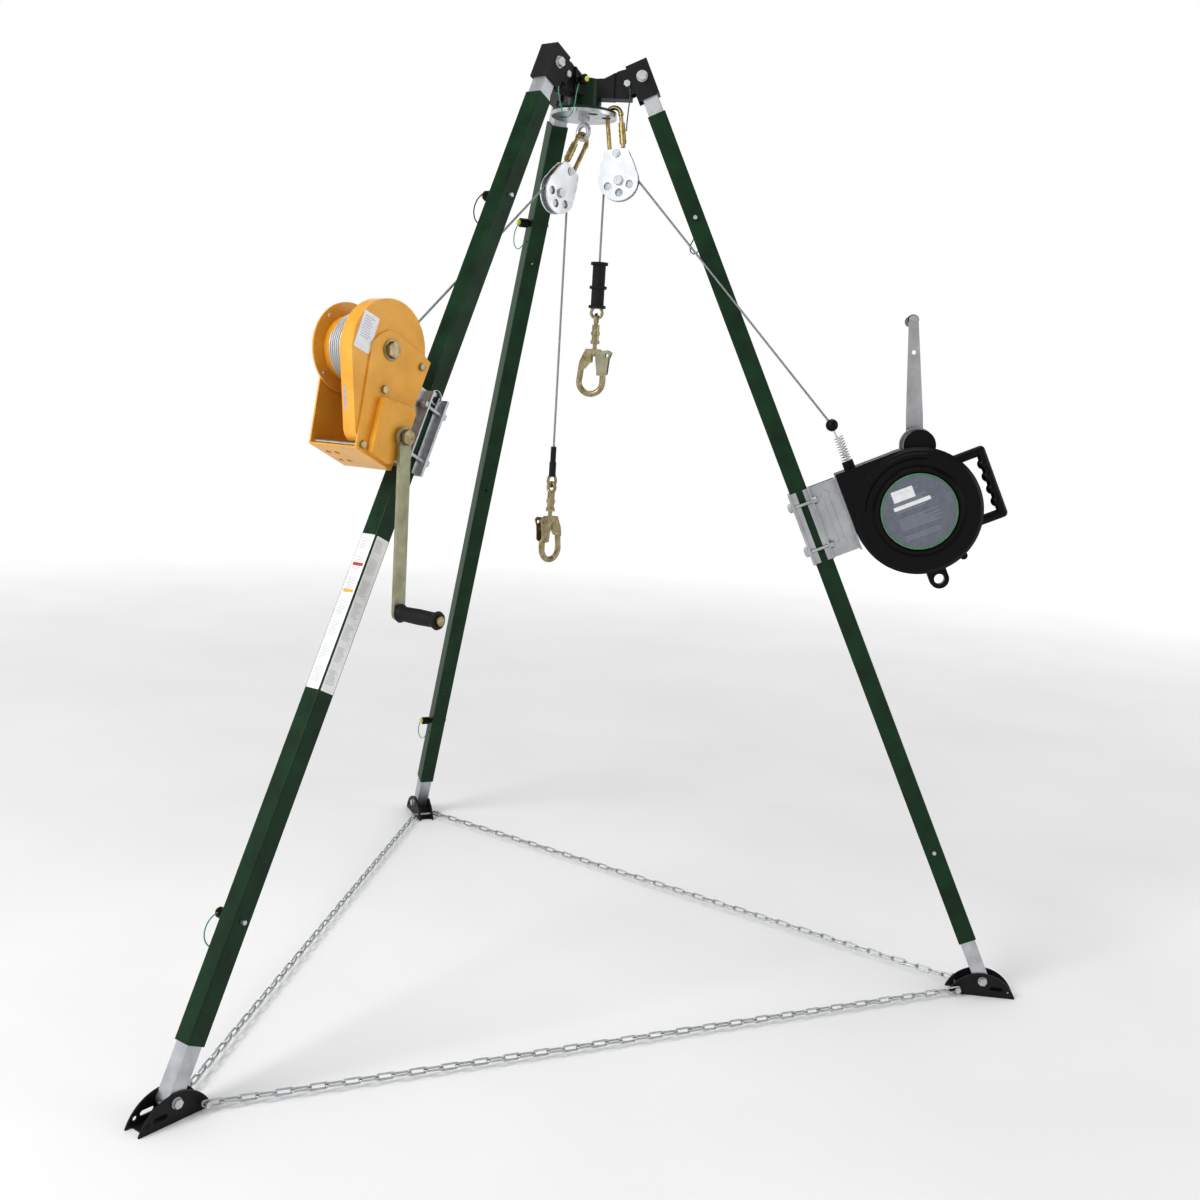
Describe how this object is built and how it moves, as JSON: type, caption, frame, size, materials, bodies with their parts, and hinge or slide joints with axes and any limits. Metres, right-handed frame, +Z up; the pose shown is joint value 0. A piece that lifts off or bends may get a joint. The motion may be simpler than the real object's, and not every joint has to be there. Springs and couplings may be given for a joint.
{
  "type": "rescue tripod",
  "caption": "Three-legged lifting tripod with telescopic pinned legs, a hand winch on one leg, a line retriever on another, hanging pulleys, hooks and a foot chain.",
  "frame": {"origin": "point on the ground straight below the middle of the head", "axes": "+Z up; the back leg stands towards +Y, the winch leg towards -X and -Y, the retriever leg towards +X and -Y"},
  "size_m": [2.0476, 1.7732, 2.1359],
  "materials": {
    "aluminium": "satin",
    "green_tube": "satin",
    "black_steel": "satin",
    "zinc": "satin",
    "gold_zinc": "satin",
    "winch_yellow": "gloss",
    "black_plastic": "satin",
    "cord_green": "matte",
    "face_grey": "satin",
    "olive_zinc": "satin",
    "pin_black": "satin"
  },
  "bodies": {
    "head": {"head_plate": "aluminium", "head_arms": "green_tube", "leg_clevises": "black_steel", "head_fasteners": "zinc", "eye_bolt": "zinc", "carabiners": "gold_zinc", "pulley_cheeks": "aluminium", "winch_line": "zinc", "winch_drop": "zinc", "retriever_line": "zinc", "retriever_drop": "zinc", "chain_front": "zinc", "chain_right": "zinc", "chain_left": "zinc"},
    "left_top": {"left_upper_tube": "aluminium"},
    "left_main": {"left_main_tube": "green_tube", "left_lanyards": "cord_green", "winch_clamp": "zinc", "winch_frame": "winch_yellow", "winch_covers": "winch_yellow", "winch_fasteners": "zinc"},
    "left_low": {"left_lower_tube": "aluminium"},
    "left_foot": {"left_foot": "black_steel"},
    "left_upper_pin": {"left_upper_pin": "pin_black"},
    "left_lower_pin": {"left_lower_pin": "pin_black"},
    "right_top": {"right_upper_tube": "aluminium"},
    "right_main": {"right_main_tube": "green_tube", "right_lanyards": "cord_green", "retriever_clamp": "zinc", "retriever_housing": "black_plastic", "retriever_face": "face_grey", "retriever_handle": "black_plastic", "retriever_spring": "zinc"},
    "right_low": {"right_lower_tube": "aluminium"},
    "right_foot": {"right_foot": "black_steel"},
    "right_upper_pin": {"right_upper_pin": "pin_black"},
    "right_lower_pin": {"right_lower_pin": "pin_black"},
    "back_top": {"back_upper_tube": "aluminium"},
    "back_main": {"back_main_tube": "green_tube", "back_lanyards": "cord_green"},
    "back_low": {"back_lower_tube": "aluminium"},
    "back_foot": {"back_foot": "black_steel"},
    "back_upper_pin": {"back_upper_pin": "pin_black"},
    "back_lower_pin": {"back_lower_pin": "pin_black"},
    "winch_carabiner_gate": {"winch_carabiner_gate": "gold_zinc"},
    "winch_sheave": {"winch_sheave": "aluminium"},
    "winch_end": {"winch_line_end": "black_plastic"},
    "winch_hook": {"winch_hook": "gold_zinc"},
    "winch_hook_gate": {"winch_hook_gate": "gold_zinc"},
    "retriever_carabiner_gate": {"retriever_carabiner_gate": "gold_zinc"},
    "retriever_sheave": {"retriever_sheave": "aluminium"},
    "retriever_end": {"retriever_line_end": "black_plastic"},
    "retriever_hook": {"retriever_hook": "gold_zinc"},
    "retriever_hook_gate": {"retriever_hook_gate": "gold_zinc"},
    "winch_drum": {"winch_drum": "winch_yellow", "winch_winding": "zinc"},
    "winch_idler": {"winch_idler": "zinc"},
    "winch_crank": {"winch_crank": "olive_zinc"},
    "winch_grip": {"winch_grip": "black_plastic"},
    "retriever_crank": {"retriever_crank": "zinc"}
  },
  "joints": [
    {"name": "left_fold", "type": "hinge", "parent": "head", "child": "left_top", "pos_m": [-0.11258, -0.065, 2.09532], "axis": [0.5, -0.866, 0], "range_deg": [0, 16], "deforming": ["winch_line", "chain_front", "chain_left"]},
    {"name": "left_upper_slide", "type": "slide", "parent": "left_top", "child": "left_main", "axis": [-0.366, -0.2113, -0.9063], "range_m": [0, 0.3], "deforming": ["winch_line", "chain_front", "chain_left"]},
    {"name": "left_lower_slide", "type": "slide", "parent": "left_main", "child": "left_low", "axis": [-0.366, -0.2113, -0.9063], "range_m": [0, 0.3], "deforming": ["chain_front", "chain_left"]},
    {"name": "left_foot_tilt", "type": "hinge", "parent": "left_low", "child": "left_foot", "pos_m": [-0.9434, -0.54467, 0.038], "axis": [0.5, -0.866, 0], "range_deg": [-20, 20], "deforming": ["chain_front", "chain_left"]},
    {"name": "left_upper_pin_pull", "type": "slide", "parent": "left_main", "child": "left_upper_pin", "axis": [-0.5, 0.866, 0], "range_m": [0, 0.06], "deforming": ["left_lanyards"]},
    {"name": "left_lower_pin_pull", "type": "slide", "parent": "left_main", "child": "left_lower_pin", "axis": [-0.5, 0.866, 0], "range_m": [0, 0.06], "deforming": ["left_lanyards"]},
    {"name": "right_fold", "type": "hinge", "parent": "head", "child": "right_top", "pos_m": [0.11258, -0.065, 2.09532], "axis": [0.5, 0.866, 0], "range_deg": [0, 16], "deforming": ["retriever_line", "chain_front", "chain_right"]},
    {"name": "right_upper_slide", "type": "slide", "parent": "right_top", "child": "right_main", "axis": [0.366, -0.2113, -0.9063], "range_m": [0, 0.3], "deforming": ["retriever_line", "chain_front", "chain_right"]},
    {"name": "right_lower_slide", "type": "slide", "parent": "right_main", "child": "right_low", "axis": [0.366, -0.2113, -0.9063], "range_m": [0, 0.3], "deforming": ["chain_front", "chain_right"]},
    {"name": "right_foot_tilt", "type": "hinge", "parent": "right_low", "child": "right_foot", "pos_m": [0.9434, -0.54467, 0.038], "axis": [0.5, 0.866, 0], "range_deg": [-20, 20], "deforming": ["chain_front", "chain_right"]},
    {"name": "right_upper_pin_pull", "type": "slide", "parent": "right_main", "child": "right_upper_pin", "axis": [0.5, 0.866, 0], "range_m": [0, 0.06], "deforming": ["right_lanyards"]},
    {"name": "right_lower_pin_pull", "type": "slide", "parent": "right_main", "child": "right_lower_pin", "axis": [0.5, 0.866, 0], "range_m": [0, 0.06], "deforming": ["right_lanyards"]},
    {"name": "back_fold", "type": "hinge", "parent": "head", "child": "back_top", "pos_m": [0, 0.13, 2.09532], "axis": [-1, 0, 0], "range_deg": [0, 24], "deforming": ["chain_right", "chain_left"]},
    {"name": "back_upper_slide", "type": "slide", "parent": "back_top", "child": "back_main", "axis": [0, 0.4226, -0.9063], "range_m": [0, 0.3], "deforming": ["chain_right", "chain_left"]},
    {"name": "back_lower_slide", "type": "slide", "parent": "back_main", "child": "back_low", "axis": [0, 0.4226, -0.9063], "range_m": [0, 0.3], "deforming": ["chain_right", "chain_left"]},
    {"name": "back_foot_tilt", "type": "hinge", "parent": "back_low", "child": "back_foot", "pos_m": [0, 1.08934, 0.038], "axis": [-1, 0, 0], "range_deg": [-20, 20], "deforming": ["chain_right", "chain_left"]},
    {"name": "back_upper_pin_pull", "type": "slide", "parent": "back_main", "child": "back_upper_pin", "axis": [-1, 0, 0], "range_m": [0, 0.06], "deforming": ["back_lanyards"]},
    {"name": "back_lower_pin_pull", "type": "slide", "parent": "back_main", "child": "back_lower_pin", "axis": [-1, 0, 0], "range_m": [0, 0.06], "deforming": ["back_lanyards"]},
    {"name": "winch_carabiner_gate_swing", "type": "hinge", "parent": "head", "child": "winch_carabiner_gate", "pos_m": [-0.04756, -0.02248, 1.8982], "axis": [-0.4274, 0.9041, 0], "range_deg": [0, 16], "stiffness_Nm_per_rad": 0.2},
    {"name": "winch_sheave_spin", "type": "hinge", "parent": "head", "child": "winch_sheave", "pos_m": [-0.06848, -0.03237, 1.82612], "axis": [0.4274, -0.9041, 0], "range_deg": [-1515, 680]},
    {"name": "winch_hoist", "type": "slide", "parent": "head", "child": "winch_end", "axis": [0, 0, 1], "range_m": [-0.9, 0.4], "deforming": ["winch_drop"]},
    {"name": "winch_hook_swivel", "type": "hinge", "parent": "winch_end", "child": "winch_hook", "pos_m": [-0.03775, -0.01784, 1.113], "axis": [0, 0, 1], "continuous": true},
    {"name": "winch_hook_gate_swing", "type": "hinge", "parent": "winch_hook", "child": "winch_hook_gate", "pos_m": [-0.04859, -0.02297, 1.075], "axis": [0.4274, -0.9041, 0], "range_deg": [0, 16], "stiffness_Nm_per_rad": 0.2},
    {"name": "retriever_carabiner_gate_swing", "type": "hinge", "parent": "head", "child": "retriever_carabiner_gate", "pos_m": [0.07862, -0.05444, 1.9433], "axis": [-0.5693, -0.8221, 0], "range_deg": [0, 5], "stiffness_Nm_per_rad": 0.2},
    {"name": "retriever_sheave_spin", "type": "hinge", "parent": "head", "child": "retriever_sheave", "pos_m": [0.07406, -0.05128, 1.86779], "axis": [0.5693, 0.8221, 0], "range_deg": [-2200, 175]},
    {"name": "retriever_hoist", "type": "slide", "parent": "head", "child": "retriever_end", "axis": [0, 0, 1], "range_m": [-1.3, 0.1], "deforming": ["retriever_drop"]},
    {"name": "retriever_hook_swivel", "type": "hinge", "parent": "retriever_end", "child": "retriever_hook", "pos_m": [0.04611, -0.03193, 1.509], "axis": [0, 0, 1], "continuous": true},
    {"name": "retriever_hook_gate_swing", "type": "hinge", "parent": "retriever_hook", "child": "retriever_hook_gate", "pos_m": [0.05597, -0.03876, 1.471], "axis": [0.5693, 0.8221, 0], "range_deg": [0, 16], "stiffness_Nm_per_rad": 0.2},
    {"name": "winch_drum_turn", "type": "hinge", "parent": "left_main", "child": "winch_drum", "pos_m": [-0.55817, -0.32226, 1.44151], "axis": [0.5, -0.866, 0], "range_deg": [-339, 760]},
    {"name": "winch_idler_turn", "type": "hinge", "parent": "left_main", "child": "winch_idler", "pos_m": [-0.53151, -0.34151, 1.32528], "axis": [0.5, -0.866, 0], "range_deg": [-1936, 865]},
    {"name": "winch_crank_turn", "type": "hinge", "parent": "left_main", "child": "winch_crank", "pos_m": [-0.51143, -0.36456, 1.27462], "axis": [0.5, -0.866, 0], "range_deg": [-1585, 3550]},
    {"name": "winch_grip_spin", "type": "hinge", "parent": "winch_crank", "child": "winch_grip", "pos_m": [-0.48143, -0.41652, 0.92462], "axis": [0.5, -0.866, 0], "continuous": true},
    {"name": "retriever_crank_turn", "type": "hinge", "parent": "right_main", "child": "retriever_crank", "pos_m": [0.70693, -0.40815, 1.30976], "axis": [0.5, 0.866, 0], "continuous": true}
  ],
  "couplings": [
    {"joint": "winch_idler_turn", "follows": "winch_drum_turn", "ratio": -2.5455},
    {"joint": "winch_crank_turn", "follows": "winch_drum_turn", "ratio": 4.6667},
    {"joint": "winch_hoist", "follows": "winch_drum_turn", "m_per_rad": -0.0675},
    {"joint": "winch_sheave_spin", "follows": "winch_drum_turn", "ratio": -1.9853},
    {"joint": "retriever_sheave_spin", "follows": "retriever_hoist", "rad_per_m": 29.412}
  ]
}
